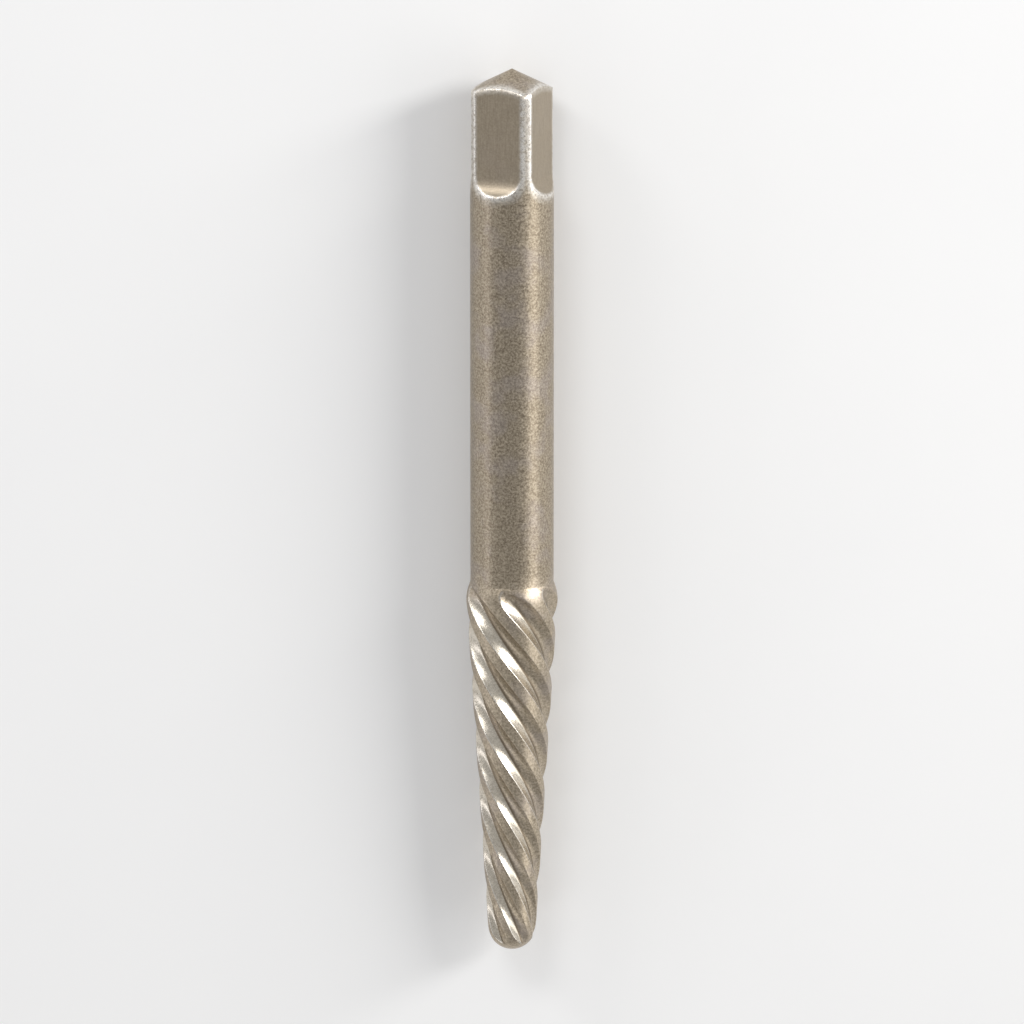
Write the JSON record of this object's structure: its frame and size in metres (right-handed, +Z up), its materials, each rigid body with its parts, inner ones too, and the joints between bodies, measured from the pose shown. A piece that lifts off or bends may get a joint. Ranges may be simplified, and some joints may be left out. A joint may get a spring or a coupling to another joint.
{
  "type": "screw extractor",
  "caption": "Spiral screw extractor with a round shank, a milled square drive end and a left-hand fluted taper.",
  "frame": {"origin": "centre of the bounding box's base: under the middle of the tool, on the surface that it lies on", "axes": "+Y along the tool's axis towards the square drive end, +Z up, +X across the tool"},
  "size_m": [0.007, 0.0682, 0.0069],
  "materials": {
    "steel": "matte speckled tool steel with a faint temper tint, brighter in the flutes and on the milled flats"
  },
  "bodies": {
    "root": {"extractor": "steel"}
  },
  "joints": []
}
